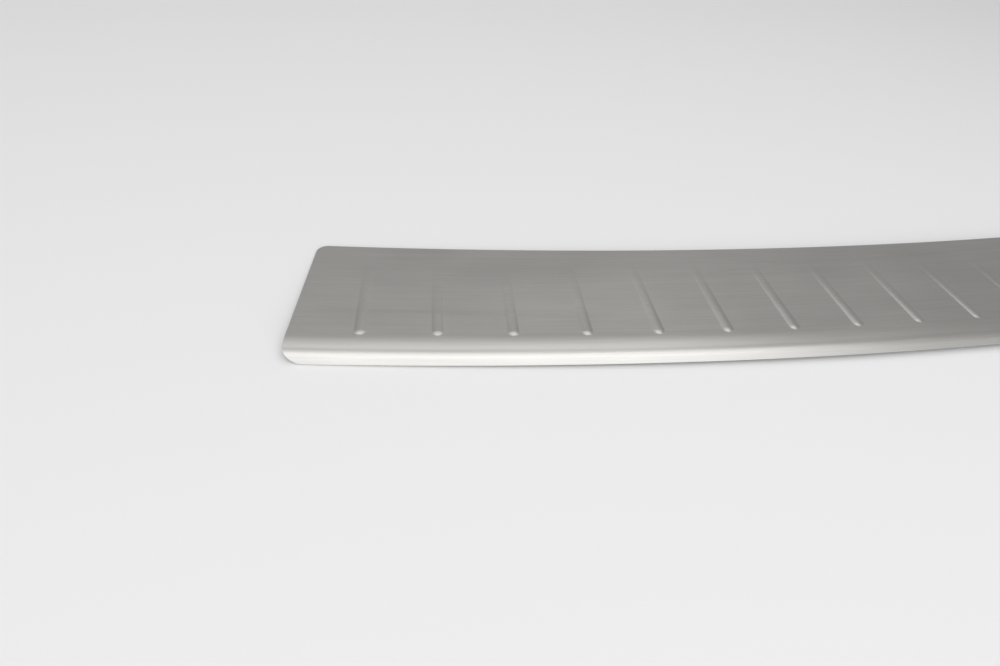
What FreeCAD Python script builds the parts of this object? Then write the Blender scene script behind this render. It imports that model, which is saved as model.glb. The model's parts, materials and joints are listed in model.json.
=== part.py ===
# Rear bumper protector: one pressed strip of brushed stainless sheet.
# It is bowed in plan, its front edge is folded down as a lip, and a row of raised ribs runs across it.
# Each rib is highest at its round front end and fades out towards the back edge.
# Sizes are in millimetres. Seen as fitted: +Z is up, the lip faces -Y and the strip runs along X.
# The origin is on the underside, at the middle of the length and of the flat.

import FreeCAD, Part
import Sketcher

import math
import os

PART_NAME = "protector_plate"

SIZES = {
    # plan of the strip
    "bow_radius": 2575.0,       # plan radius of the bow, along the middle of the flat
    "end_margin": 31.6,         # last rib to the end of the strip, along the middle of the flat
    "end_slant": 3.1,           # degrees by which the end cut leans off the radius, longer at the lip
    "corner_radius": 6.0,       # the two back corners, in plan
    "lip_corner_radius": 10.0,  # the two front corners, rounded on the blank and then folded with the lip
    "lip_corner_tilt": 45.0,    # slope of the plane in which a folded corner shows its true radius, degrees
    # section of the strip, on its outer side
    "sheet": 1.0,
    "flat_width": 72.6,         # back edge to where the strip starts to roll down
    "roll_radius": 28.0,        # soft roll in front of the flat
    "roll_angle": 16.0,         # slope at the end of the roll, degrees
    "step_radius": 2.0,         # small hollow that makes the crease line
    "land_angle": 9.0,          # slope of the narrow land in front of the crease, degrees
    "land_length": 1.2,
    "bend_radius": 3.5,         # outer radius of the fold
    "lip_angle": 68.0,          # slope of the lip, degrees
    "lip_length": 3.5,          # straight part of the lip below the fold
    # ribs
    "rib_count": 26.0,
    "rib_pitch": 36.5,          # along the middle of the flat
    "rib_width": 6.2,
    "rib_height": 0.65,         # at the front end
    "rib_length": 57.0,         # front foot to where the rib fades out
    "rib_front_gap": 0.4,       # front foot to where the roll starts
    "rib_crest_radius": 6.4,    # nearly flat on top, with a narrow flank at each side
    "rib_root": 0.05,           # depth by which the rib's foot starts under the surface
    # trimming
    "back_allowance": 1.0,      # strip left at the back edge for the trimming cut
    "front_clearance": 0.2,     # trimming line in front of the lip's foot
    "corner_clearance": 0.1,    # corner cut outside the lip's foot, so that it leaves the foot cleanly
}


def fill_sheet(doc, sizes):
    """Write the driving dimensions into a spreadsheet, one alias a row."""
    sheet = doc.addObject("Spreadsheet::Sheet", "Sizes")
    for row, (alias, value) in enumerate(sizes.items(), start=1):
        sheet.set(f"A{row}", alias)
        sheet.set(f"B{row}", str(value))
        sheet.setAlias(f"B{row}", alias)
    doc.recompute()
    return sheet


def size(alias):
    """The value of one driving dimension, read back from the spreadsheet."""
    return float(document.Sizes.get(alias))


def value_of(expression):
    """Work out an expression of the spreadsheet's sizes and of the sketches' dimensions."""
    value = document.Sizes.evalExpression(expression)
    return float(getattr(value, "Value", value))


# Angles about the bow's axis, in degrees.
RIB_STEP = "(Sizes.rib_pitch / Sizes.bow_radius * 180 / pi)"
FIRST_RIB = f"(-(Sizes.rib_count - 1) / 2 * {RIB_STEP})"
HALF_SPAN = f"((Sizes.rib_count - 1) / 2 * {RIB_STEP} + Sizes.end_margin / Sizes.bow_radius * 180 / pi)"
SPARE_ANGLE = 2.0


def rib_step():
    """Angle from one rib to the next, in degrees."""
    return math.degrees(size("rib_pitch") / size("bow_radius"))


def half_span():
    """Angle from the middle of the strip to its end, along the middle of the flat, in degrees."""
    return (size("rib_count") - 1) / 2 * rib_step() + math.degrees(size("end_margin") / size("bow_radius"))


def origin_plane(body, role):
    """One of the body's own origin planes, found by its role."""
    return next(plane for plane in body.Origin.OriginFeatures if plane.Role == role)


def new_sketch(body, name, role):
    """An empty sketch on one of the body's origin planes."""
    sketch = body.newObject("Sketcher::SketchObject", name)
    sketch.AttachmentSupport = [(origin_plane(body, role), "")]
    sketch.MapMode = "FlatFace"
    return sketch


def dimension(sketch, name, constraint, expression):
    """Add one dimension to a sketch and bind it to the spreadsheet."""
    index = sketch.addConstraint(constraint)
    sketch.renameConstraint(index, name)
    sketch.setExpression(f"Constraints.{name}", expression)


def read_off(sketch, name, constraint):
    """Add a dimension that follows from the others, so that later features can read it."""
    index = sketch.addConstraint(constraint)
    sketch.setDriving(index, False)
    sketch.renameConstraint(index, name)


class Pen:
    """Draws tangent lines and arcs one after another, and keeps where and which way it points."""

    def __init__(self, sketch, x, y, heading=0.0):
        self.sketch = sketch
        self.x = x
        self.y = y
        self.heading = math.radians(heading)
        self.last = None

    def _join(self, index, start, end, tangent):
        if self.last is not None:
            kind = "Tangent" if tangent else "Coincident"
            self.sketch.addConstraint(Sketcher.Constraint(kind, *self.last, index, start))
        self.last = (index, end)
        return index

    def line(self, length, tangent=True):
        """A straight stretch straight ahead."""
        x = self.x + length * math.cos(self.heading)
        y = self.y + length * math.sin(self.heading)
        segment = Part.LineSegment(FreeCAD.Vector(self.x, self.y, 0), FreeCAD.Vector(x, y, 0))
        self.x, self.y = x, y
        return self._join(self.sketch.addGeometry(segment, False), 1, 2, tangent)

    def arc(self, radius, turn, tangent=True):
        """An arc of a radius that turns left by so many degrees, or right where they are negative."""
        side = math.copysign(1.0, turn)
        turn = math.radians(turn)
        centre_x = self.x - side * radius * math.sin(self.heading)
        centre_y = self.y + side * radius * math.cos(self.heading)
        first = self.heading - side * math.pi / 2
        last = first + turn
        circle = Part.Circle(FreeCAD.Vector(centre_x, centre_y, 0), FreeCAD.Vector(0, 0, 1), radius)
        segment = Part.ArcOfCircle(circle, min(first, last), max(first, last))
        self.x = centre_x + radius * math.cos(last)
        self.y = centre_y + radius * math.sin(last)
        self.heading += turn
        start, end = (1, 2) if side > 0 else (2, 1)
        return self._join(self.sketch.addGeometry(segment, False), start, end, tangent)


# What a sketch calls its own origin, its horizontal and vertical axes and an arc's centre.
ORIGIN_POINT = (-1, 1)
X_AXIS = -1
Y_AXIS = -2
CENTRE = 3


def draw_section(body):
    """The strip's section from the back edge to the foot of the lip, drawn at its true radius."""
    sketch = new_sketch(body, "strip_section", "XZ_Plane")
    back = size("bow_radius") - size("flat_width") / 2 - size("back_allowance")
    sheet = size("sheet")
    fold_turn = size("lip_angle") - size("land_angle")
    step_turn = size("roll_angle") - size("land_angle")

    def one_side(height, inward):
        """One side of the sheet; inward is 0 on the outer side and the sheet's thickness inside."""
        pen = Pen(sketch, back, height)
        return {
            "flat": pen.line(size("flat_width") + size("back_allowance")),
            "roll": pen.arc(size("roll_radius") - inward, -size("roll_angle")),
            "step": pen.arc(size("step_radius") + inward, step_turn),
            "land": pen.line(size("land_length")),
            "bend": pen.arc(size("bend_radius") - inward, -fold_turn),
            "lip": pen.line(size("lip_length")),
        }

    outer = one_side(sheet, 0.0)
    inner = one_side(0.0, sheet)

    for piece in ("roll", "step", "bend"):
        sketch.addConstraint(Sketcher.Constraint("Coincident", outer[piece], CENTRE, inner[piece], CENTRE))
    for piece in ("land", "lip"):
        sketch.addConstraint(Sketcher.Constraint("Parallel", outer[piece], inner[piece]))
    for side in (outer, inner):
        sketch.addConstraint(Sketcher.Constraint("Horizontal", side["flat"]))

    back_edge = sketch.addGeometry(
        Part.LineSegment(FreeCAD.Vector(back, 0, 0), FreeCAD.Vector(back, sheet, 0)), False)
    sketch.addConstraint(Sketcher.Constraint("Coincident", back_edge, 1, inner["flat"], 1))
    sketch.addConstraint(Sketcher.Constraint("Coincident", back_edge, 2, outer["flat"], 1))
    sketch.addConstraint(Sketcher.Constraint("Vertical", back_edge))

    lip_foot = sketch.addGeometry(
        Part.LineSegment(sketch.getPoint(outer["lip"], 2), sketch.getPoint(inner["lip"], 2)), False)
    sketch.addConstraint(Sketcher.Constraint("Coincident", lip_foot, 1, outer["lip"], 2))
    sketch.addConstraint(Sketcher.Constraint("Coincident", lip_foot, 2, inner["lip"], 2))
    sketch.addConstraint(Sketcher.Constraint("Perpendicular", lip_foot, outer["lip"]))

    dimension(sketch, "back_radius",
              Sketcher.Constraint("DistanceX", *ORIGIN_POINT, inner["flat"], 1, back),
              "Sizes.bow_radius - Sizes.flat_width / 2 - Sizes.back_allowance")
    dimension(sketch, "underside",
              Sketcher.Constraint("DistanceY", *ORIGIN_POINT, outer["flat"], 1, sheet),
              "Sizes.sheet")
    dimension(sketch, "thickness",
              Sketcher.Constraint("DistanceY", inner["flat"], 1, outer["flat"], 1, sheet),
              "Sizes.sheet")
    dimension(sketch, "flat",
              Sketcher.Constraint("DistanceX", outer["flat"], 1, outer["flat"], 2,
                                  size("flat_width") + size("back_allowance")),
              "Sizes.flat_width + Sizes.back_allowance")
    for piece in ("roll", "step", "bend"):
        dimension(sketch, f"{piece}_radius",
                  Sketcher.Constraint("Radius", outer[piece], size(f"{piece}_radius")),
                  f"Sizes.{piece}_radius")
    turns = {
        "roll": (size("roll_angle"), "Sizes.roll_angle"),
        "step": (step_turn, "Sizes.roll_angle - Sizes.land_angle"),
        "bend": (fold_turn, "Sizes.lip_angle - Sizes.land_angle"),
    }
    for piece, (degrees, expression) in turns.items():
        dimension(sketch, f"{piece}_turn",
                  Sketcher.Constraint("Angle", outer[piece], math.radians(degrees)),
                  expression)
    for piece in ("land", "lip"):
        dimension(sketch, f"{piece}_length",
                  Sketcher.Constraint("Distance", outer[piece], size(f"{piece}_length")),
                  f"Sizes.{piece}_length")

    foot = sketch.getPoint(outer["lip"], 2)
    read_off(sketch, "lip_foot_radius",
             Sketcher.Constraint("DistanceX", *ORIGIN_POINT, outer["lip"], 2, foot.x))
    read_off(sketch, "lip_foot_depth",
             Sketcher.Constraint("DistanceY", outer["lip"], 2, *ORIGIN_POINT, -foot.y))
    return sketch


def arc_between(centre, start, end):
    """An arc about a centre, turning left from one point to another."""
    first = math.atan2(start.y - centre.y, start.x - centre.x)
    last = math.atan2(end.y - centre.y, end.x - centre.x)
    if last < first:
        last += 2 * math.pi
    circle = Part.Circle(centre, FreeCAD.Vector(0, 0, 1), start.distanceToPoint(centre))
    return Part.ArcOfCircle(circle, first, last)


def mirrored(point):
    """The same point at the other end of the strip."""
    return FreeCAD.Vector(point.x, -point.y, 0)


def draw_outline(body, section):
    """The blank's outline in plan, inside a frame: two bowed edges, two slanted ends, round back corners."""
    sketch = new_sketch(body, "blank_outline", "XY_Plane")
    bow = size("bow_radius")
    back = bow - size("flat_width") / 2
    front = section.getDatum("lip_foot_radius").Value + size("front_clearance")
    corner = size("corner_radius")
    span = math.radians(half_span())
    cut = span + math.radians(size("end_slant"))
    centre = FreeCAD.Vector(0, 0, 0)
    on_end = FreeCAD.Vector(math.cos(span), math.sin(span), 0) * bow
    along = FreeCAD.Vector(math.cos(cut), math.sin(cut), 0)
    inward = FreeCAD.Vector(math.sin(cut), -math.cos(cut), 0)

    def on_cut(distance, inset=0.0):
        """Point of the end line, or of a line inside it, so far from the bow's axis."""
        base = on_end + inward * inset
        half = base.dot(along)
        return base + along * (math.sqrt(half ** 2 - base.dot(base) + distance ** 2) - half)

    end_front = on_cut(front)
    back_centre = on_cut(back + corner, corner)
    end_back = back_centre - inward * corner
    on_back = back_centre * (back / back_centre.Length)

    def add(shape):
        return sketch.addGeometry(shape, False)

    front_edge = add(arc_between(centre, mirrored(end_front), end_front))
    back_edge = add(arc_between(centre, mirrored(on_back), on_back))
    end = add(Part.LineSegment(end_front, end_back))
    far_end = add(Part.LineSegment(mirrored(end_back), mirrored(end_front)))
    corners = [
        add(arc_between(back_centre, end_back, on_back)),
        add(arc_between(mirrored(back_centre), mirrored(on_back), mirrored(end_back))),
    ]
    sketch.addConstraint(Sketcher.Constraint("Coincident", front_edge, 2, end, 1))
    sketch.addConstraint(Sketcher.Constraint("Coincident", front_edge, 1, far_end, 2))
    joints = [
        (end, 2, corners[0], 1), (corners[0], 2, back_edge, 2),
        (back_edge, 1, corners[1], 1), (corners[1], 2, far_end, 1),
    ]
    for joint in joints:
        sketch.addConstraint(Sketcher.Constraint("Tangent", *joint))
    for edge in (front_edge, back_edge):
        sketch.addConstraint(Sketcher.Constraint("Coincident", edge, CENTRE, *ORIGIN_POINT))
    sketch.addConstraint(Sketcher.Constraint("Equal", *corners))
    sketch.addConstraint(Sketcher.Constraint("Symmetric", end, 2, far_end, 1, X_AXIS))

    spoke = sketch.addGeometry(Part.LineSegment(centre, on_end), True)
    sketch.addConstraint(Sketcher.Constraint("Coincident", spoke, 1, *ORIGIN_POINT))
    sketch.addConstraint(Sketcher.Constraint("PointOnObject", spoke, 2, end))
    dimension(sketch, "spoke_length", Sketcher.Constraint("Distance", spoke, bow), "Sizes.bow_radius")
    dimension(sketch, "spoke_angle", Sketcher.Constraint("Angle", spoke, span), HALF_SPAN)
    dimension(sketch, "slant",
              Sketcher.Constraint("Angle", spoke, 1, end, 2, math.radians(size("end_slant"))),
              "Sizes.end_slant")
    dimension(sketch, "back_radius", Sketcher.Constraint("Radius", back_edge, back),
              "Sizes.bow_radius - Sizes.flat_width / 2")
    dimension(sketch, "front_radius", Sketcher.Constraint("Radius", front_edge, front),
              "strip_section.Constraints.lip_foot_radius + Sizes.front_clearance * 1 mm")
    dimension(sketch, "corner_radius", Sketcher.Constraint("Radius", corners[0], corner),
              "Sizes.corner_radius")
    return sketch


def cut_frame(sketch):
    """A frame well outside the strip, so that a pocket takes away all that lies off the blank."""
    bow = size("bow_radius")
    near, far, side = bow / 2, bow * 1.5, bow
    corners = [FreeCAD.Vector(near, -side, 0), FreeCAD.Vector(far, -side, 0),
               FreeCAD.Vector(far, side, 0), FreeCAD.Vector(near, side, 0)]
    lines = [sketch.addGeometry(Part.LineSegment(corners[i], corners[(i + 1) % 4]), False) for i in range(4)]
    for i in range(4):
        sketch.addConstraint(Sketcher.Constraint("Coincident", lines[i], 2, lines[(i + 1) % 4], 1))
    for line, direction in zip(lines, ("Horizontal", "Vertical", "Horizontal", "Vertical")):
        sketch.addConstraint(Sketcher.Constraint(direction, line))
    dimension(sketch, "frame_near", Sketcher.Constraint("DistanceX", *ORIGIN_POINT, lines[0], 1, near),
              "Sizes.bow_radius / 2")
    dimension(sketch, "frame_far", Sketcher.Constraint("DistanceX", *ORIGIN_POINT, lines[0], 2, far),
              "Sizes.bow_radius * 1.5")
    dimension(sketch, "frame_low", Sketcher.Constraint("DistanceY", lines[0], 1, *ORIGIN_POINT, side),
              "Sizes.bow_radius")
    dimension(sketch, "frame_high", Sketcher.Constraint("DistanceY", *ORIGIN_POINT, lines[2], 1, side),
              "Sizes.bow_radius")


# The front corner of the strip, where the end cut meets the lip's foot, and the angle between the two there.
FOOT = "(strip_section.Constraints.lip_foot_radius / 1 mm)"
CUT = f"({HALF_SPAN} + Sizes.end_slant)"
REACH = (f"(sqrt({FOOT} ^ 2 - (Sizes.bow_radius * sin(Sizes.end_slant)) ^ 2)"
         " - Sizes.bow_radius * cos(Sizes.end_slant))")
FOOT_LEAN = (f"atan(tan(asin(Sizes.bow_radius * sin(Sizes.end_slant) / {FOOT}))"
             " * cos(Sizes.lip_corner_tilt))")


def draw_lip_corner(body):
    """What a rounded corner takes off the folded lip, drawn in a tilted plane through the corner."""
    corner_frame = body.newObject("PartDesign::Plane", "corner_frame")
    corner_frame.AttachmentSupport = [(origin_plane(body, "XY_Plane"), "")]
    corner_frame.MapMode = "FlatFace"
    corner_frame.AttachmentOffset = FreeCAD.Placement(
        FreeCAD.Vector(0, 0, 0), FreeCAD.Rotation(FreeCAD.Vector(0, 0, 1), 1))
    corner_frame.setExpression(
        "AttachmentOffset.Base.x", f"Sizes.bow_radius * cos({HALF_SPAN}) + {REACH} * cos({CUT})")
    corner_frame.setExpression(
        "AttachmentOffset.Base.y", f"Sizes.bow_radius * sin({HALF_SPAN}) + {REACH} * sin({CUT})")
    corner_frame.setExpression("AttachmentOffset.Base.z", "-strip_section.Constraints.lip_foot_depth")
    corner_frame.setExpression("AttachmentOffset.Rotation.Angle", f"{CUT} - 90")

    sketch = body.newObject("Sketcher::SketchObject", "lip_corner")
    sketch.AttachmentSupport = [(corner_frame, "")]
    sketch.MapMode = "FlatFace"
    sketch.AttachmentOffset = FreeCAD.Placement(
        FreeCAD.Vector(0, 0, 0), FreeCAD.Rotation(FreeCAD.Vector(1, 0, 0), 1))
    sketch.setExpression("AttachmentOffset.Rotation.Angle", "-Sizes.lip_corner_tilt")
    document.recompute()

    radius = size("lip_corner_radius")
    gap = size("corner_clearance")
    lean = math.radians(value_of(FOOT_LEAN))
    slope = FreeCAD.Vector(math.cos(lean), -math.sin(lean), 0)
    outward = FreeCAD.Vector(math.sin(lean), math.cos(lean), 0)
    rise = (gap - radius - radius * outward.x) / outward.y
    centre = FreeCAD.Vector(radius, rise, 0)
    on_end = centre - FreeCAD.Vector(radius, 0, 0)
    on_foot = centre + outward * radius
    beyond = on_foot + slope * (radius / 2)
    far = FreeCAD.Vector(beyond.x, radius, 0)
    off = FreeCAD.Vector(-radius / 2, radius, 0)
    beside = FreeCAD.Vector(off.x, on_end.y, 0)
    arc = sketch.addGeometry(arc_between(centre, on_foot, on_end), False)
    points = [on_end, beside, off, far, beyond, on_foot]
    lines = [sketch.addGeometry(Part.LineSegment(*pair), False) for pair in zip(points, points[1:])]
    for first, second in zip(lines, lines[1:]):
        sketch.addConstraint(Sketcher.Constraint("Coincident", first, 2, second, 1))
    sketch.addConstraint(Sketcher.Constraint("Coincident", arc, 2, lines[0], 1))
    sketch.addConstraint(Sketcher.Constraint("Tangent", arc, 1, lines[-1], 2))
    sketch.addConstraint(Sketcher.Constraint("PointOnObject", arc, 2, Y_AXIS))
    sketch.addConstraint(Sketcher.Constraint("Horizontal", arc, 2, arc, CENTRE))
    for line, direction in zip(lines, ("Horizontal", "Vertical", "Horizontal", "Vertical")):
        sketch.addConstraint(Sketcher.Constraint(direction, line))
    dimension(sketch, "corner_radius", Sketcher.Constraint("Radius", arc, radius),
              "Sizes.lip_corner_radius")
    dimension(sketch, "foot_line", Sketcher.Constraint("Angle", lines[-1], math.pi - lean),
              f"180 deg - {FOOT_LEAN}")
    dimension(sketch, "clearance", Sketcher.Constraint("Distance", *ORIGIN_POINT, lines[-1], gap),
              "Sizes.corner_clearance")
    dimension(sketch, "run_out", Sketcher.Constraint("Distance", lines[-1], radius / 2),
              "Sizes.lip_corner_radius / 2")
    dimension(sketch, "beside", Sketcher.Constraint("Distance", lines[0], radius / 2),
              "Sizes.lip_corner_radius / 2")
    dimension(sketch, "in_front",
              Sketcher.Constraint("DistanceY", *ORIGIN_POINT, lines[2], 1, radius),
              "Sizes.lip_corner_radius")
    return sketch


def round_lip_corners(body):
    """Round the lip's corner at one end and repeat it at the other."""
    before = body.Tip.Shape.Volume
    corner = body.newObject("PartDesign::Pocket", "rounded_corner")
    corner.Profile = draw_lip_corner(body)
    corner.Type = "Length"
    corner.SideType = "Symmetric"
    corner.setExpression("Length", "Sizes.lip_corner_radius * 4")
    document.recompute()
    other = body.newObject("PartDesign::Mirrored", "other_corner")
    other.Originals = [corner]
    other.MirrorPlane = (origin_plane(body, "XZ_Plane"), [""])
    body.Tip = other
    document.recompute()
    one_corner = before - corner.Shape.Volume
    both_corners = before - other.Shape.Volume
    if not 0 < one_corner < both_corners:
        raise RuntimeError("the lip's corners weren't rounded")


# Where a rib stands, measured from the bow's axis.
RIB_FRONT = "(Sizes.bow_radius + Sizes.flat_width / 2 - Sizes.rib_front_gap - Sizes.rib_width / 2)"
RIB_BACK = "(Sizes.bow_radius + Sizes.flat_width / 2 - Sizes.rib_front_gap - Sizes.rib_length)"

# Height of a rib's foot, crest and base, on the outer side of the sheet and in the hollow under it.
OUTSIDE = {
    "low": "Sizes.sheet - Sizes.rib_root",
    "crest": "Sizes.sheet + Sizes.rib_height",
    "faded": "Sizes.sheet - Sizes.rib_root / 2",
    "base": "Sizes.sheet / 2",
    "crest_radius": "Sizes.rib_crest_radius",
}
HOLLOW = {
    "low": "-Sizes.rib_root",
    "crest": "Sizes.rib_height",
    "faded": "-Sizes.rib_root / 2",
    "base": "-Sizes.sheet / 2",
    "crest_radius": "Sizes.rib_crest_radius - Sizes.sheet",
}


def stand_on_rib(sketch, radius):
    """Turn a sketch of the rib's cross plane to the first rib, so far from the bow's axis."""
    sketch.AttachmentOffset = FreeCAD.Placement(
        FreeCAD.Vector(0, 0, 0), FreeCAD.Rotation(FreeCAD.Vector(0, 1, 0), 1))
    sketch.setExpression("AttachmentOffset.Base.x", f"{radius} * sin({FIRST_RIB})")
    sketch.setExpression("AttachmentOffset.Base.z", f"{radius} * cos({FIRST_RIB})")
    sketch.setExpression("AttachmentOffset.Rotation.Angle", FIRST_RIB)


def draw_rib(body, name, heights, faded=False, half=False):
    """Section of a rib: a round crest that runs into hollow feet, on a base inside the sheet."""
    sketch = new_sketch(body, name, "YZ_Plane")
    half_width = size("rib_width") / 2
    low = value_of(heights["low"])
    base = value_of(heights["base"])
    top_expression = heights["faded"] if faded else heights["crest"]
    top = value_of(top_expression)
    rise = top - low
    slope = 2 * math.atan(rise / half_width)
    both_radii = half_width / math.sin(slope)
    crest_radius = both_radii / 2 if faded else value_of(heights["crest_radius"])
    foot_radius = both_radii - crest_radius

    sides = {}
    for side in ((1,) if half else (1, -1)):
        pen = Pen(sketch, 0, top, heading=90 - 90 * side)
        crest = pen.arc(crest_radius, -side * math.degrees(slope))
        foot = pen.arc(foot_radius, side * math.degrees(slope))
        foot_end = 2 if side > 0 else 1
        crest_top = 2 if side > 0 else 1
        wall = sketch.addGeometry(Part.LineSegment(
            FreeCAD.Vector(side * half_width, low, 0), FreeCAD.Vector(side * half_width, base, 0)), False)
        sketch.addConstraint(Sketcher.Constraint("Coincident", wall, 1, foot, foot_end))
        sketch.addConstraint(Sketcher.Constraint("Vertical", wall))
        sketch.addConstraint(Sketcher.Constraint("Vertical", foot, CENTRE, foot, foot_end))
        sides[side] = {"crest": crest, "crest_top": crest_top, "foot": foot,
                       "foot_end": foot_end, "wall": wall}

    right = sides[1]
    sketch.addConstraint(Sketcher.Constraint("PointOnObject", right["crest"], right["crest_top"], Y_AXIS))
    sketch.addConstraint(Sketcher.Constraint("PointOnObject", right["crest"], CENTRE, Y_AXIS))
    if half:
        far_x = 0
    else:
        left = sides[-1]
        far_x = -half_width
        sketch.addConstraint(Sketcher.Constraint(
            "Coincident", left["crest"], left["crest_top"], right["crest"], right["crest_top"]))
        sketch.addConstraint(Sketcher.Constraint("Coincident", left["crest"], CENTRE, right["crest"], CENTRE))
        sketch.addConstraint(Sketcher.Constraint(
            "Symmetric", left["foot"], left["foot_end"], right["foot"], right["foot_end"], Y_AXIS))

    base_line = sketch.addGeometry(Part.LineSegment(
        FreeCAD.Vector(half_width, base, 0), FreeCAD.Vector(far_x, base, 0)), False)
    sketch.addConstraint(Sketcher.Constraint("Coincident", base_line, 1, right["wall"], 2))
    sketch.addConstraint(Sketcher.Constraint("Horizontal", base_line))
    if half:
        axis = sketch.addGeometry(Part.LineSegment(
            FreeCAD.Vector(0, base, 0), FreeCAD.Vector(0, top, 0)), False)
        sketch.addConstraint(Sketcher.Constraint("Coincident", axis, 1, base_line, 2))
        sketch.addConstraint(Sketcher.Constraint("Coincident", axis, 2, right["crest"], right["crest_top"]))
        sketch.addConstraint(Sketcher.Constraint("Vertical", axis))
    else:
        sketch.addConstraint(Sketcher.Constraint("Coincident", base_line, 2, left["wall"], 2))

    dimension(sketch, "top", Sketcher.Constraint(
        "DistanceY", *ORIGIN_POINT, right["crest"], right["crest_top"], top), top_expression)
    dimension(sketch, "low", Sketcher.Constraint(
        "DistanceY", *ORIGIN_POINT, right["foot"], right["foot_end"], low), heights["low"])
    dimension(sketch, "base", Sketcher.Constraint(
        "DistanceY", *ORIGIN_POINT, base_line, 1, base), heights["base"])
    dimension(sketch, "half_width", Sketcher.Constraint(
        "DistanceX", *ORIGIN_POINT, right["foot"], right["foot_end"], half_width), "Sizes.rib_width / 2")
    if faded:
        sketch.addConstraint(Sketcher.Constraint("Equal", right["crest"], right["foot"]))
    else:
        dimension(sketch, "crest_radius", Sketcher.Constraint("Radius", right["crest"], crest_radius),
                  heights["crest_radius"])
    stand_on_rib(sketch, RIB_BACK if faded else RIB_FRONT)
    return sketch


def press_rib(body, name, heights, loft_type, turn_type):
    """A rib's tapering ridge and its round front end, added outside or taken out underneath."""
    front = draw_rib(body, f"{name}_front", heights)
    back = draw_rib(body, f"{name}_back", heights, faded=True)
    nose_section = draw_rib(body, f"{name}_nose_section", heights, half=True)
    document.recompute()
    ridge = body.newObject(loft_type, f"{name}_ridge")
    ridge.Profile = front
    ridge.Sections = [back]
    ridge.Ruled = True
    document.recompute()
    nose = body.newObject(turn_type, f"{name}_nose")
    nose.Profile = nose_section
    nose.ReferenceAxis = (nose_section, ["V_Axis"])
    nose.Angle = 180
    nose.Reversed = True
    document.recompute()
    return [ridge, nose]


def build_strip(body):
    """The bowed strip with its folded lip, trimmed to its outline."""
    section = draw_section(body)
    document.recompute()
    strip = body.newObject("PartDesign::Revolution", "bowed_strip")
    strip.Profile = section
    strip.ReferenceAxis = (section, ["V_Axis"])
    strip.Midplane = True
    strip.setExpression("Angle", f"2 * {HALF_SPAN} + {SPARE_ANGLE}")
    document.recompute()

    outline = draw_outline(body, section)
    cut_frame(outline)
    document.recompute()
    trimmed = body.newObject("PartDesign::Pocket", "trimmed_strip")
    trimmed.Profile = outline
    trimmed.Type = "ThroughAll"
    trimmed.SideType = "Symmetric"
    document.recompute()
    if trimmed.Shape.Volume >= strip.Shape.Volume:
        raise RuntimeError("the trimming cut took nothing away")
    round_lip_corners(body)
    return section


def press_ribs(body, section):
    """The first rib, raised outside and hollow underneath, and the row of ribs made from it."""
    plain = body.Tip.Shape.Volume
    raised = press_rib(body, "rib", OUTSIDE, "PartDesign::AdditiveLoft", "PartDesign::Revolution")
    solid_rib = body.Tip.Shape.Volume
    sunk = press_rib(body, "hollow", HOLLOW, "PartDesign::SubtractiveLoft", "PartDesign::Groove")
    if not body.Tip.Shape.Volume < solid_rib > plain:
        raise RuntimeError("the first rib wasn't raised and hollowed")
    row = body.newObject("PartDesign::PolarPattern", "rib_row")
    row.Originals = raised + sunk
    row.Axis = (section, ["V_Axis"])
    row.Mode = "Spacing"
    row.setExpression("Offset", RIB_STEP)
    row.setExpression("Occurrences", "Sizes.rib_count")
    body.Tip = row
    document.recompute()


def place(body):
    """The body is drawn about the bow's axis; as fitted, that axis lies behind the strip."""
    body.Placement = FreeCAD.Placement(
        FreeCAD.Vector(0, size("bow_radius"), 0), FreeCAD.Rotation(FreeCAD.Vector(0, 0, 1), -90))
    body.setExpression("Placement.Base.y", "Sizes.bow_radius")
    document.recompute()


def check(document, body):
    """Stop on any failed object, loose sketch or unsound solid."""
    for item in document.Objects:
        if {"Invalid", "Error"} & set(item.State):
            raise RuntimeError(f"{item.Name} failed: {item.State}")
        if item.TypeId == "Sketcher::SketchObject" and not item.FullyConstrained:
            raise RuntimeError(f"{item.Name} isn't fully constrained")
    if body.Shape.isNull() or not body.Shape.isValid() or len(body.Shape.Solids) != 1:
        raise RuntimeError(f"{body.Label} isn't one sound solid")


document = FreeCAD.newDocument("RearBumperProtector")
fill_sheet(document, SIZES)
protector = document.addObject("PartDesign::Body", PART_NAME)
protector.Label = PART_NAME
strip_section = build_strip(protector)
press_ribs(protector, strip_section)
place(protector)
check(document, protector)

os.makedirs("parts", exist_ok=True)
protector.Shape.exportStep(f"parts/{protector.Label}.step")
box = protector.Shape.optimalBoundingBox()
print(f"{protector.Label}: {box.XLength:.1f} x {box.YLength:.1f} x {box.ZLength:.1f} mm, "
      f"{protector.Shape.Volume / 1000:.2f} cm3")
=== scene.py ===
# %% [markdown]
# A rear bumper protector, lying on a studio floor. The real one is a strip of brushed stainless sheet,
# about a metre long and a millimetre thick. It is blanked with bowed edges, a row of ribs is pressed up
# across it, and its front edge is folded down as a lip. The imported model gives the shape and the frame.
# This script builds the same sheet with a finer surface, and gives it its finish.

import json
import math

import bmesh
import bpy
from mathutils import Matrix, Vector

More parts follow.
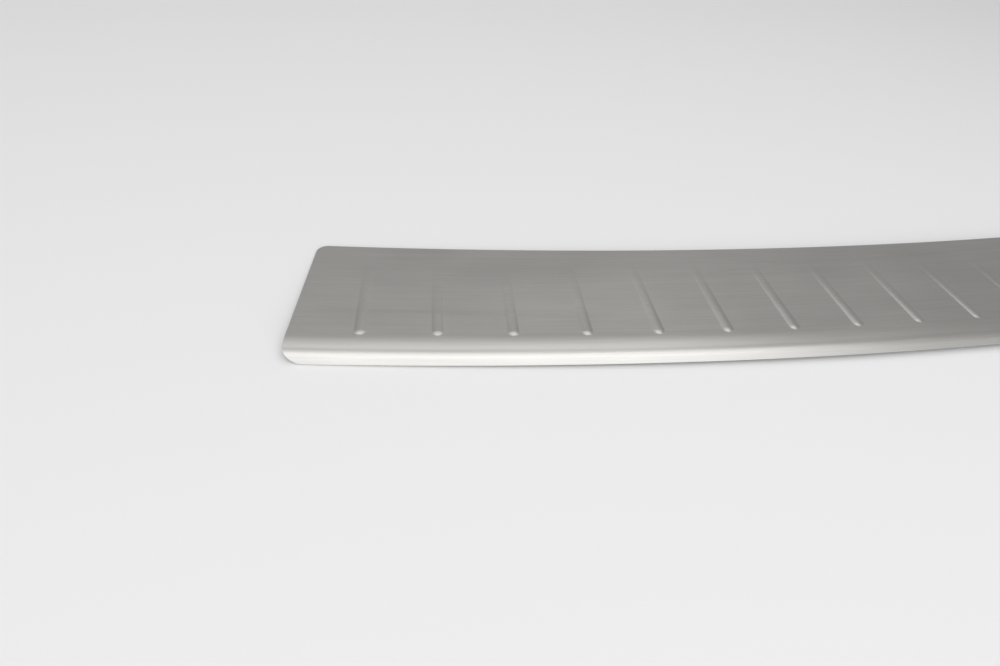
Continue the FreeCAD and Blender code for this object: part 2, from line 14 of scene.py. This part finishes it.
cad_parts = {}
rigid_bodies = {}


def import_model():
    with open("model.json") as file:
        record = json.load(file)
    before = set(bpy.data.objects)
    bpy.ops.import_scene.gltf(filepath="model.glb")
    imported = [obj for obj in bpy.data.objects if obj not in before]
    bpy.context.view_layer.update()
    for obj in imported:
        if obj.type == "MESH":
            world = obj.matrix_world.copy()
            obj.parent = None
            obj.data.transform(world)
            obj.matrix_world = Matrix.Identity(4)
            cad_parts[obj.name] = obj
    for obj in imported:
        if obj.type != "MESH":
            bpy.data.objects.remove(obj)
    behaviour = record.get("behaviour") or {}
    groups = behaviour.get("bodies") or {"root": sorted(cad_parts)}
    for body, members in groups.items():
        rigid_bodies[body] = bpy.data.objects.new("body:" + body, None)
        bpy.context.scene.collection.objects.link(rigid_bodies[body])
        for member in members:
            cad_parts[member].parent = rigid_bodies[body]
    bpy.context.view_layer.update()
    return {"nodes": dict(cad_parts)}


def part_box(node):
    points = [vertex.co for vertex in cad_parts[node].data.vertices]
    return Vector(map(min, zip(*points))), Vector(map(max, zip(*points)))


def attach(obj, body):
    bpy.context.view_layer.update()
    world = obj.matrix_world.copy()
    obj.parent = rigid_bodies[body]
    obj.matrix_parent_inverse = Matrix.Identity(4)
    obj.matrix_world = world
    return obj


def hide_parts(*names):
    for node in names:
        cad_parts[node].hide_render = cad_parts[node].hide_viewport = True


for opened_with in list(bpy.data.objects):
    bpy.data.objects.remove(opened_with)
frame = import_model()
plate_low, plate_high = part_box("protector_plate")
print("nodes:", sorted(frame["nodes"]))
print("plate from", [round(v, 4) for v in plate_low], "to", [round(v, 4) for v in plate_high])

# %% [markdown]
# The sheet's sizes are those of the drawing, in metres. The bow's axis is upright and lies behind the
# strip, so each point of the strip has a distance from that axis and an angle about it. The origin is under
# the middle of the flat.

# %% Sizes of the sheet
MM = 0.001
SHEET = 1.0 * MM
BOW_RADIUS = 2575 * MM
FLAT_WIDTH = 72.6 * MM
ROLL_RADIUS, ROLL_ANGLE = 28 * MM, math.radians(16)
STEP_RADIUS = 2 * MM
LAND_ANGLE, LAND_LENGTH = math.radians(9), 1.2 * MM
BEND_RADIUS = 3.5 * MM
LIP_ANGLE, LIP_LENGTH = math.radians(68), 3.5 * MM
END_MARGIN, END_SLANT = 31.6 * MM, math.radians(3.1)
BACK_CORNER_RADIUS = 6 * MM
LIP_CORNER_RADIUS = 10 * MM
LIP_CORNER_TILT = math.radians(45)
CORNER_CLEARANCE = 0.1 * MM

RIB_COUNT = 26
RIB_PITCH = 36.5 * MM
RIB_WIDTH, RIB_HEIGHT, RIB_LENGTH = 6.2 * MM, 0.65 * MM, 57 * MM
RIB_FRONT_GAP = 0.4 * MM
RIB_CREST_RADIUS = 6.4 * MM

RIB_STEP = RIB_PITCH / BOW_RADIUS
HALF_SPAN = (RIB_COUNT - 1) / 2 * RIB_STEP + END_MARGIN / BOW_RADIUS
BOW_AXIS = Vector((0, BOW_RADIUS, 0))
UP = Vector((0, 0, 1))
RIB_FRONT = FLAT_WIDTH / 2 - RIB_FRONT_GAP
RIB_BACK = RIB_FRONT - RIB_LENGTH
NOSE_RADIUS = BOW_RADIUS + RIB_FRONT - RIB_WIDTH / 2
RIB_BACK_RADIUS = BOW_RADIUS + RIB_BACK
RIB_FADED = 0.017
NOSE_STRETCH = 7 * MM
RIB_EDGE = 0.25 * MM
EDGE_EASE = 0.12 * MM
MERGE_WITHIN = 0.02 * MM
CUT_WITHIN = 1e-7
print("bow half angle", round(math.degrees(HALF_SPAN), 3), "degrees")
print("rib step", round(math.degrees(RIB_STEP), 3), "degrees")

# %% [markdown]
# The section is the line that a cut across the sheet shows: a flat, a soft roll, a small step that makes
# the crease, a narrow land, the fold and the lip. It could be traced as a curve, but a point that is
# extruded along the straights and spun round the bends gives exact tangents, and each stretch gets just the
# points it needs.


# %% Draw the section
def straight(bm, point, direction, length, steps=1):
    """Carry the section on in a straight line."""
    for _ in range(steps):
        grown = bmesh.ops.extrude_vert_indiv(bm, verts=[point])
        point = grown["verts"][0]
        bmesh.ops.translate(bm, verts=[point], vec=direction * (length / steps))
    return point


def bend(bm, point, direction, radius, turn, steps):
    """Carry the section round an arc; a positive turn bends it down."""
    above = direction.cross(Vector((1, 0, 0)))
    centre = point.co - above * math.copysign(radius, turn)
    spun = bmesh.ops.spin(bm, geom=[point], cent=centre, axis=(1, 0, 0), angle=turn, steps=steps)
    end = next(item for item in spun["geom_last"] if isinstance(item, bmesh.types.BMVert))
    return end, Matrix.Rotation(turn, 3, "X") @ direction


section = bmesh.new()
heading = Vector((0, -1, 0))
tip = section.verts.new((0, FLAT_WIDTH / 2, SHEET))
runs = [
    (FLAT_WIDTH / 2 + RIB_BACK, 2),
    (RIB_LENGTH - NOSE_STRETCH, 8),
    (NOSE_STRETCH, 18),
    (RIB_FRONT_GAP, 1),
]
for length, steps in runs:
    tip = straight(section, tip, heading, length, steps)
tip, heading = bend(section, tip, heading, ROLL_RADIUS, ROLL_ANGLE, 6)
tip, heading = bend(section, tip, heading, STEP_RADIUS, LAND_ANGLE - ROLL_ANGLE, 2)
tip = straight(section, tip, heading, LAND_LENGTH)
tip, heading = bend(section, tip, heading, BEND_RADIUS, LIP_ANGLE - LAND_ANGLE, 9)
tip = straight(section, tip, heading, LIP_LENGTH)
LIP_FOOT_RADIUS, LIP_FOOT_HEIGHT = BOW_RADIUS - tip.co.y, tip.co.z
print("section:", len(section.verts), "points, foot of the lip at",
      [round(v * 1000, 2) for v in tip.co], "mm")

# %% [markdown]
# One bay is the stretch of the strip that belongs to one rib, half a pitch to each side of it. Spinning the
# section about the bow's axis gives it its bow at the same time. The columns are narrow over the rib, where
# the surface will curve, and wide beside it, where it stays flat.

# %% Spin one bay
def sweep(bm, geom, angle, steps):
    """Spin edges about the bow's axis and give back the edges at the far end."""
    spun = bmesh.ops.spin(bm, geom=geom, cent=BOW_AXIS, axis=UP, angle=angle, steps=steps)
    return spun["geom_last"]


RIB_BAND = (RIB_WIDTH / 2 + RIB_EDGE) / NOSE_RADIUS
bay = section.copy()
edge = bay.verts[:] + bay.edges[:]
for angle, steps in ((RIB_STEP / 2 - RIB_BAND, 2), (2 * RIB_BAND, 24), (RIB_STEP / 2 - RIB_BAND, 2)):
    edge = sweep(bay, edge, angle, steps)
print("bay:", len(bay.verts), "points,", len(bay.faces), "faces")

# %% [markdown]
# A press raises each rib from below. It is highest at its round front end and fades to nothing at its back
# end. Across, its height follows an S: a round crest that runs into a hollow foot. A cutter or a boolean
# would leave a sharp foot, so the points of the bay are lifted instead, by the height that the press would
# give them.

# %% Press the rib
FLANK = 2 * math.atan(RIB_HEIGHT / (RIB_WIDTH / 2))
S_RADII = (RIB_WIDTH / 2) / math.sin(FLANK)


def s_height(offset, crest_radius):
    """Height of an S that falls from the crest to its foot, so far out from the middle."""
    foot_radius = S_RADII - crest_radius
    if offset >= RIB_WIDTH / 2:
        return 0.0
    if offset <= crest_radius * math.sin(FLANK):
        return RIB_HEIGHT - crest_radius + math.sqrt(crest_radius ** 2 - offset ** 2)
    return foot_radius - math.sqrt(foot_radius ** 2 - (RIB_WIDTH / 2 - offset) ** 2)


def rib_height(across, along):
    """Height of the rib above the flat; along is the distance behind the centre of its nose."""
    offset = math.hypot(across, min(along, 0.0))
    fade = min(max(along, 0.0) / (NOSE_RADIUS - RIB_BACK_RADIUS), 1.0)
    front = s_height(offset, RIB_CREST_RADIUS)
    back = s_height(offset, S_RADII / 2) * RIB_FADED
    return front + (back - front) * fade


for point in bay.verts:
    reach = point.co - BOW_AXIS
    radius = math.hypot(reach.x, reach.y)
    angle = math.atan2(reach.x, -reach.y) - RIB_STEP / 2
    point.co.z += rib_height(radius * math.sin(angle), NOSE_RADIUS - radius * math.cos(angle))
print("rib top at", round(max(v.co.z for v in bay.verts) * 1000, 2), "mm")

# %% [markdown]
# The bays are all alike, so a spin that duplicates lays thirteen of them side by side. The strip is the
# same on both sides of its middle, so this half will be mirrored once its end is cut.

# %% Repeat the bay
HALF_COUNT = RIB_COUNT // 2
half = bay.copy()
bmesh.ops.spin(half, geom=half.verts[:] + half.edges[:] + half.faces[:], cent=BOW_AXIS, axis=UP,
               angle=RIB_STEP * (HALF_COUNT - 1), steps=HALF_COUNT - 1, use_duplicate=True)
bmesh.ops.remove_doubles(half, verts=half.verts, dist=MERGE_WITHIN)
print("half strip:", len(half.verts), "points, reaching x =", round(max(v.co.x for v in half.verts), 4))

# %% [markdown]
# The strip's ends are blanked: a straight cut, slanted a little against the radius, with round corners. A
# cut is a bisecting plane that clears what lies outside it, and a fan of such planes leaves a corner round.
# The back corners are round in plan. The front ones were round on the flat blank and then folded with the
# lip, so their round shows true from a direction that looks down at the fold, and their fan of planes is
# tilted that way.

# %% Cut the end
end = section.copy()
bmesh.ops.rotate(end, verts=end.verts, cent=BOW_AXIS, matrix=Matrix.Rotation(RIB_STEP * HALF_COUNT, 3, "Z"))
SPARE = 0.15 * RIB_STEP
sweep(end, end.verts[:] + end.edges[:], HALF_SPAN + SPARE - RIB_STEP * HALF_COUNT, 12)

CUT_ANGLE = HALF_SPAN + END_SLANT
on_end = BOW_AXIS + Vector((math.sin(HALF_SPAN), -math.cos(HALF_SPAN), 0)) * BOW_RADIUS
along_cut = Vector((math.sin(CUT_ANGLE), -math.cos(CUT_ANGLE), 0))
outward = Vector((math.cos(CUT_ANGLE), math.sin(CUT_ANGLE), 0))


def on_cut(radius, inset=0.0):
    """Point of the cut, or of a line inside it, so far from the bow's axis."""
    base = on_end - outward * inset - BOW_AXIS
    run = base.dot(along_cut)
    return BOW_AXIS + base + along_cut * (math.sqrt(run ** 2 - base.length_squared + radius ** 2) - run)


def cut(bm, place, normal):
    """Cut the sheet with a plane and clear what lies outside."""
    bmesh.ops.bisect_plane(bm, geom=bm.verts[:] + bm.edges[:] + bm.faces[:], dist=CUT_WITHIN,
                           plane_co=place, plane_no=normal, clear_outer=True)


def round_off(bm, centre, radius, first, last, cuts):
    """Round a corner with a fan of cuts about its centre, from one direction to another."""
    for step in range(1, cuts):
        normal = first.slerp(last, step / cuts)
        cut(bm, centre + normal * radius, normal)


cut(end, on_end, outward)
back_centre = on_cut(BOW_RADIUS - FLAT_WIDTH / 2 + BACK_CORNER_RADIUS, BACK_CORNER_RADIUS)
round_off(end, back_centre, BACK_CORNER_RADIUS, outward, (BOW_AXIS - back_centre).normalized(), 10)

lip_corner = on_cut(LIP_FOOT_RADIUS) + UP * LIP_FOOT_HEIGHT
down_cut = along_cut * math.cos(LIP_CORNER_TILT) - UP * math.sin(LIP_CORNER_TILT)
slant_at_foot = math.asin(BOW_RADIUS * math.sin(END_SLANT) / LIP_FOOT_RADIUS)
foot_lean = math.atan(math.tan(slant_at_foot) * math.cos(LIP_CORNER_TILT))
off_foot = down_cut * math.cos(foot_lean) - outward * math.sin(foot_lean)
depth = (LIP_CORNER_RADIUS * (1 + math.sin(foot_lean)) - CORNER_CLEARANCE) / math.cos(foot_lean)
lip_centre = lip_corner - outward * LIP_CORNER_RADIUS - down_cut * depth
round_off(end, lip_centre, LIP_CORNER_RADIUS, outward, off_foot, 14)
print("end piece:", len(end.faces), "faces, reaching x =", round(max(v.co.x for v in end.verts), 4))

# %% [markdown]
# The parts are put in one mesh and mirrored. Their shared points are merged, and the normals are made to
# agree, because a mirror turns them round. Only then does the sheet get its thickness: solidify adds the
# inner side and the cut edges, and a very small bevel takes the sharpness off those edges, as blanking and
# deburring do.

# %% Join, mirror and thicken
def joined(*parts):
    """One bmesh that holds the given ones."""
    whole = bmesh.new()
    for part in parts:
        carrier = bpy.data.meshes.new("carrier")
        part.to_mesh(carrier)
        whole.from_mesh(carrier)
        bpy.data.meshes.remove(carrier)
    return whole


sheet = joined(half, end)
bmesh.ops.mirror(sheet, geom=sheet.verts[:] + sheet.edges[:] + sheet.faces[:], axis="X", merge_dist=-1)
bmesh.ops.remove_doubles(sheet, verts=sheet.verts, dist=MERGE_WITHIN)
bmesh.ops.recalc_face_normals(sheet, faces=sheet.faces)
flat_face = max(sheet.faces, key=lambda face: face.calc_center_median().z)
if flat_face.normal.z < 0:
    bmesh.ops.reverse_faces(sheet, faces=sheet.faces)
for face in sheet.faces:
    face.smooth = True
print("sheet:", len(sheet.verts), "points,", sum(e.is_boundary for e in sheet.edges), "edges round its rim")

plate_mesh = bpy.data.meshes.new("protector_sheet")
sheet.to_mesh(plate_mesh)
plate = bpy.data.objects.new("protector_sheet", plate_mesh)
bpy.context.collection.objects.link(plate)

thicken = plate.modifiers.new("Thickness", "SOLIDIFY")
thicken.thickness = SHEET
thicken.offset = -1
thicken.use_even_offset = True
thicken.use_quality_normals = True
ease = plate.modifiers.new("Deburred edges", "BEVEL")
ease.width = EDGE_EASE
ease.segments = 2
ease.limit_method = "ANGLE"
ease.angle_limit = math.radians(60)
ease.harden_normals = True
for part in (section, bay, half, end, sheet):
    part.free()

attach(plate, "root")
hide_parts("protector_plate")

# %% [markdown]
# The finish is brushed stainless: bright metal with fine lines along the strip, a little warmer than
# neutral grey. The lines are noise on Object coordinates, turned into the strip's own: the way along the
# bow, the distance from its axis and the height. Noise that is stretched along the bow then follows it and
# lies still on the sheet. It changes the tone, the roughness and the bump a little, and the reflections are
# drawn out across the lines.

# %% Brushed stainless
steel = bpy.data.materials.new("brushed_stainless")
steel.use_nodes = True
nodes, links = steel.node_tree.nodes, steel.node_tree.links
shader = nodes["Principled BSDF"]
shader.inputs["Metallic"].default_value = 1.0
shader.inputs["Anisotropic"].default_value = 0.35


def node(kind, **values):
    """A new node with its settings."""
    made = nodes.new(kind)
    for name, value in values.items():
        setattr(made, name, value)
    return made


def stretched_noise(along, across, detail):
    """Noise whose patches are so many to a metre along the strip and across it."""
    mapping = node("ShaderNodeMapping")
    mapping.inputs["Scale"].default_value = (along, across, across)
    links.new(strip_place.outputs["Vector"], mapping.inputs["Vector"])
    noise = node("ShaderNodeTexNoise")
    noise.inputs["Scale"].default_value = 1.0
    noise.inputs["Detail"].default_value = detail
    links.new(mapping.outputs["Vector"], noise.inputs["Vector"])
    return noise.outputs["Fac"]


def spread(source, low, high, out_low, out_high):
    """Map part of a value's range to another range."""
    ranged = node("ShaderNodeMapRange")
    for socket, value in (("From Min", low), ("From Max", high), ("To Min", out_low), ("To Max", out_high)):
        ranged.inputs[socket].default_value = value
    links.new(source, ranged.inputs["Value"])
    return ranged.outputs["Result"]


place = node("ShaderNodeTexCoord")
from_axis = node("ShaderNodeVectorMath", operation="SUBTRACT")
from_axis.inputs[1].default_value = BOW_AXIS
links.new(place.outputs["Object"], from_axis.inputs[0])
parts = node("ShaderNodeSeparateXYZ")
links.new(from_axis.outputs["Vector"], parts.inputs["Vector"])
forward = node("ShaderNodeMath", operation="MULTIPLY")
forward.inputs[1].default_value = -1
links.new(parts.outputs["Y"], forward.inputs[0])
bow_angle = node("ShaderNodeMath", operation="ARCTAN2")
links.new(parts.outputs["X"], bow_angle.inputs[0])
links.new(forward.outputs["Value"], bow_angle.inputs[1])
arc = node("ShaderNodeMath", operation="MULTIPLY")
arc.inputs[1].default_value = BOW_RADIUS
links.new(bow_angle.outputs["Value"], arc.inputs[0])
level = node("ShaderNodeVectorMath", operation="MULTIPLY")
level.inputs[1].default_value = (1, 1, 0)
links.new(from_axis.outputs["Vector"], level.inputs[0])
reach_out = node("ShaderNodeVectorMath", operation="LENGTH")
links.new(level.outputs["Vector"], reach_out.inputs[0])
strip_place = node("ShaderNodeCombineXYZ")
links.new(arc.outputs["Value"], strip_place.inputs["X"])
links.new(reach_out.outputs["Value"], strip_place.inputs["Y"])
links.new(parts.outputs["Z"], strip_place.inputs["Z"])

brush = stretched_noise(25, 2400, 3.0)
long_brush = stretched_noise(6, 700, 2.0)
cloud = stretched_noise(14, 30, 2.0)

tone = node("ShaderNodeMix", data_type="RGBA")
tone.inputs["A"].default_value = (0.585, 0.575, 0.555, 1)
tone.inputs["B"].default_value = (0.645, 0.635, 0.61, 1)
links.new(spread(brush, 0.3, 0.7, 0, 1), tone.inputs["Factor"])
links.new(tone.outputs["Result"], shader.inputs["Base Color"])

shine = node("ShaderNodeMath", operation="ADD")
links.new(spread(cloud, 0.3, 0.7, 0.38, 0.44), shine.inputs[0])
links.new(spread(long_brush, 0.3, 0.7, -0.02, 0.02), shine.inputs[1])
links.new(shine.outputs["Value"], shader.inputs["Roughness"])

grain = node("ShaderNodeBump")
grain.inputs["Strength"].default_value = 0.08
grain.inputs["Distance"].default_value = 0.00002
links.new(brush, grain.inputs["Height"])
links.new(grain.outputs["Normal"], shader.inputs["Normal"])

brush_way = node("ShaderNodeVectorMath", operation="NORMALIZE")
links.new(level.outputs["Vector"], brush_way.inputs[0])
links.new(brush_way.outputs["Vector"], shader.inputs["Tangent"])
plate.data.materials.append(steel)
print("material:", steel.name, "with", len(nodes), "nodes")

# %% [markdown]
# Set down on a floor, the strip rests on the feet of its lip at the two ends and on its back corners, so it
# leans back by about four degrees. The strip stays level here as it is fitted to a bumper, and the floor is
# laid in the plane that it rests on.

# %% Floor
corners = [v.co.copy() for v in frame["nodes"]["protector_plate"].data.vertices]
back_foot = max(corners, key=lambda p: (round(p.y, 4), -p.z))
slope, front_foot = max(
    ((back_foot.z - p.z) / (back_foot.y - p.y), tuple(p)) for p in corners if p.y < back_foot.y - 0.02
)
LEAN = math.atan(slope)
FLOOR_HALF_WIDTH = 6
print("back foot", [round(v, 4) for v in back_foot], "front foot", [round(v, 4) for v in front_foot],
      "lean", round(math.degrees(LEAN), 2))

floor_bm = bmesh.new()
bmesh.ops.create_grid(floor_bm, x_segments=1, y_segments=1, size=FLOOR_HALF_WIDTH)
bmesh.ops.rotate(floor_bm, verts=floor_bm.verts, matrix=Matrix.Rotation(LEAN, 3, "X"))
bmesh.ops.translate(floor_bm, verts=floor_bm.verts, vec=(0, back_foot.y, back_foot.z))
floor_mesh = bpy.data.meshes.new("floor")
floor_bm.to_mesh(floor_mesh)
floor_bm.free()
floor = bpy.data.objects.new("floor", floor_mesh)
bpy.context.collection.objects.link(floor)

floor_paint = bpy.data.materials.new("pale_floor")
floor_paint.use_nodes = True
floor_shader = floor_paint.node_tree.nodes["Principled BSDF"]
floor_shader.inputs["Base Color"].default_value = (0.88, 0.88, 0.88, 1)
floor_shader.inputs["Roughness"].default_value = 0.9
floor.data.materials.append(floor_paint)

# %% [markdown]
# A satin sheet shows mostly what it reflects. The lip mirrors what is low in front of it, the fold and the
# ribs' noses what is higher, and the flat what is above and behind. So three large soft lamps stand in an
# arc over the strip, brightest in front and dimmest on top. They are centred left of the strip's middle, so
# that the right end is darker.

# %% Light
def panel(name, place_at, look_at, size_x, size_y, brightness):
    """A soft rectangular lamp that looks at a point; a brightness of 1 makes its face white."""
    data = bpy.data.lights.new(name, "AREA")
    data.shape = "RECTANGLE"
    data.size, data.size_y = size_x, size_y
    data.energy = brightness * math.pi * size_x * size_y
    made = bpy.data.objects.new(name, data)
    bpy.context.collection.objects.link(made)
    made.location = place_at
    made.rotation_euler = (Vector(look_at) - Vector(place_at)).to_track_quat("-Z", "Y").to_euler()


panel("front_lamp", (-0.5, -1.65, 0.35), (-0.5, 0, 0), 2.4, 0.95, 1.75)
panel("high_lamp", (-0.5, -0.85, 1.2), (-0.5, 0, 0), 2.4, 1.4, 1.3)
panel("top_lamp", (-0.4, 0.3, 1.4), (-0.4, 0, 0), 2.0, 0.9, 0.85)

world = bpy.data.worlds.new("studio")
bpy.context.scene.world = world
world.use_nodes = True
surroundings = world.node_tree.nodes["Background"]
surroundings.inputs["Color"].default_value = (1, 1, 1, 1)
surroundings.inputs["Strength"].default_value = 0.32
print("lamps:", sorted(data.name for data in bpy.data.lights))

# %% [markdown]
# The camera stands close, in front of the strip and above it, where the photographer stood. A short lens
# makes the near rib at the left look larger than the far ones at the right.

# %% Camera
CAMERA_PLACE = Vector((-0.4643, -0.2286, 0.2123))
PITCH, YAW, ROLL = math.radians(41.89), math.radians(17.49), math.radians(5.88)
SENSOR_WIDTH = 36
FOCAL_LENGTH = 0.65 * SENSOR_WIDTH
view_way = Vector((math.sin(YAW) * math.cos(PITCH), math.cos(YAW) * math.cos(PITCH), -math.sin(PITCH)))
level_right = Vector((math.cos(YAW), -math.sin(YAW), 0))
level_up = level_right.cross(view_way)
right = level_right * math.cos(ROLL) + level_up * math.sin(ROLL)
up = level_up * math.cos(ROLL) - level_right * math.sin(ROLL)

camera_data = bpy.data.cameras.new("camera")
camera_data.sensor_width = SENSOR_WIDTH
camera_data.lens = FOCAL_LENGTH
camera_data.clip_start = 0.01
camera = bpy.data.objects.new("camera", camera_data)
bpy.context.collection.objects.link(camera)
turn = Matrix((right, up, -view_way)).transposed()
camera.matrix_world = Matrix.Translation(CAMERA_PLACE) @ turn.to_4x4()
bpy.context.scene.camera = camera
bpy.context.scene.view_settings.view_transform = "Standard"
print("camera", round(CAMERA_PLACE.length, 3), "m from the origin, lens", round(FOCAL_LENGTH, 1), "mm")
